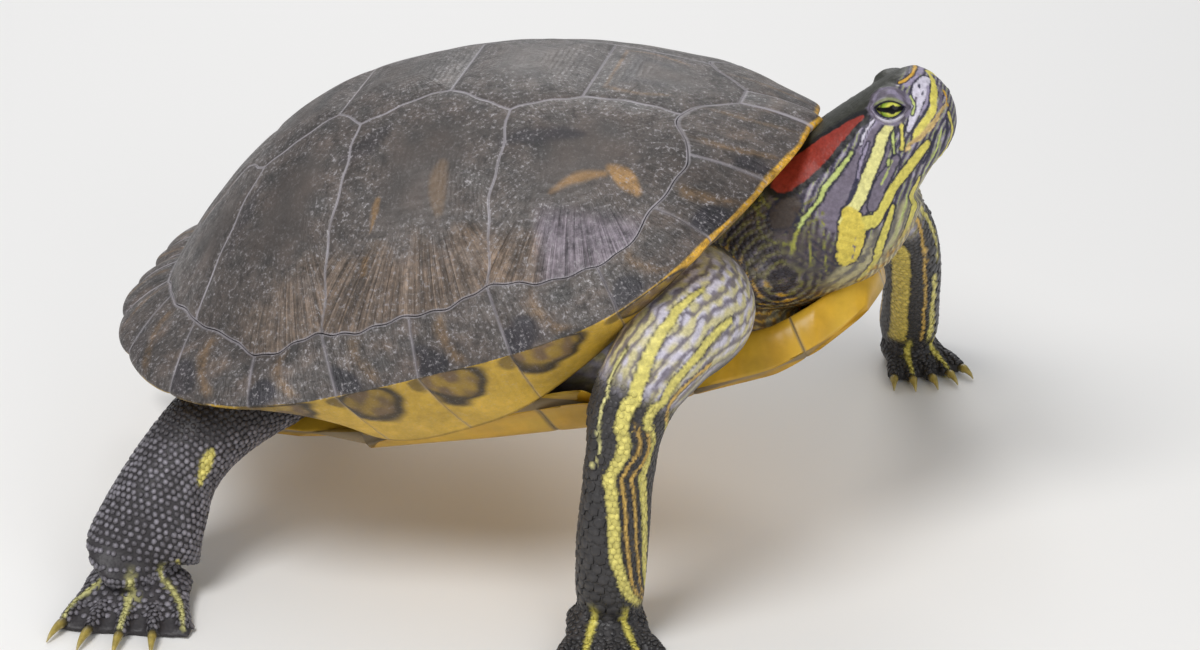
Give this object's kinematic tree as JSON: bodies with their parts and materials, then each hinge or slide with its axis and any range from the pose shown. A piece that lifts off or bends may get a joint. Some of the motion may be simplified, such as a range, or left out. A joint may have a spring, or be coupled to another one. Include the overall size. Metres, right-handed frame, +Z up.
{
  "type": "red-eared slider turtle",
  "caption": "Life-size still model of a red-eared slider turtle standing with head raised, with a domed plated shell, striped skin and clawed webbed feet",
  "frame": {"origin": "middle of the bounding box, on the floor the feet stand on", "axes": "+X towards the head, +Y the animal's left, +Z up"},
  "size_m": [0.2246, 0.2146, 0.1284],
  "materials": {
    "shell_dark": "horny plates, satin, with raised growth rings",
    "shell_yellow": "horny plates, satin",
    "skin": "dark scaly skin with yellow stripes",
    "eye": "wet gloss",
    "horn": "semi-gloss horn"
  },
  "bodies": {
    "root": {"nuchal": "shell_dark", "vertebral_1": "shell_dark", "vertebral_2": "shell_dark", "vertebral_3": "shell_dark", "vertebral_4": "shell_dark", "vertebral_5": "shell_dark", "costal_left_1": "shell_dark", "costal_left_2": "shell_dark", "costal_left_3": "shell_dark", "costal_left_4": "shell_dark", "marginal_left_1_3": "shell_dark", "marginal_left_4_6": "shell_dark", "marginal_left_7_9": "shell_dark", "marginal_left_10_12": "shell_dark", "costal_right_1": "shell_dark", "costal_right_2": "shell_dark", "costal_right_3": "shell_dark", "costal_right_4": "shell_dark", "marginal_right_1_3": "shell_dark", "marginal_right_4_6": "shell_dark", "marginal_right_7_9": "shell_dark", "marginal_right_10_12": "shell_dark", "plastron_gular": "shell_yellow", "plastron_humeral": "shell_yellow", "plastron_pectoral": "shell_yellow", "plastron_abdominal": "shell_yellow", "plastron_femoral": "shell_yellow", "plastron_anal": "shell_yellow", "trunk": "skin", "head": "skin", "lower_jaw": "skin", "neck": "skin", "eye_left": "eye", "eye_right": "eye", "leg_fore_right": "skin", "claw_fore_right_1": "horn", "claw_fore_right_2": "horn", "claw_fore_right_3": "horn", "claw_fore_right_4": "horn", "claw_fore_right_5": "horn", "leg_fore_left": "skin", "claw_fore_left_1": "horn", "claw_fore_left_2": "horn", "claw_fore_left_3": "horn", "claw_fore_left_4": "horn", "claw_fore_left_5": "horn", "leg_hind_right": "skin", "claw_hind_right_1": "horn", "claw_hind_right_2": "horn", "claw_hind_right_3": "horn", "claw_hind_right_4": "horn", "leg_hind_left": "skin", "claw_hind_left_1": "horn", "claw_hind_left_2": "horn", "claw_hind_left_3": "horn", "claw_hind_left_4": "horn", "tail": "skin"}
  },
  "joints": []
}
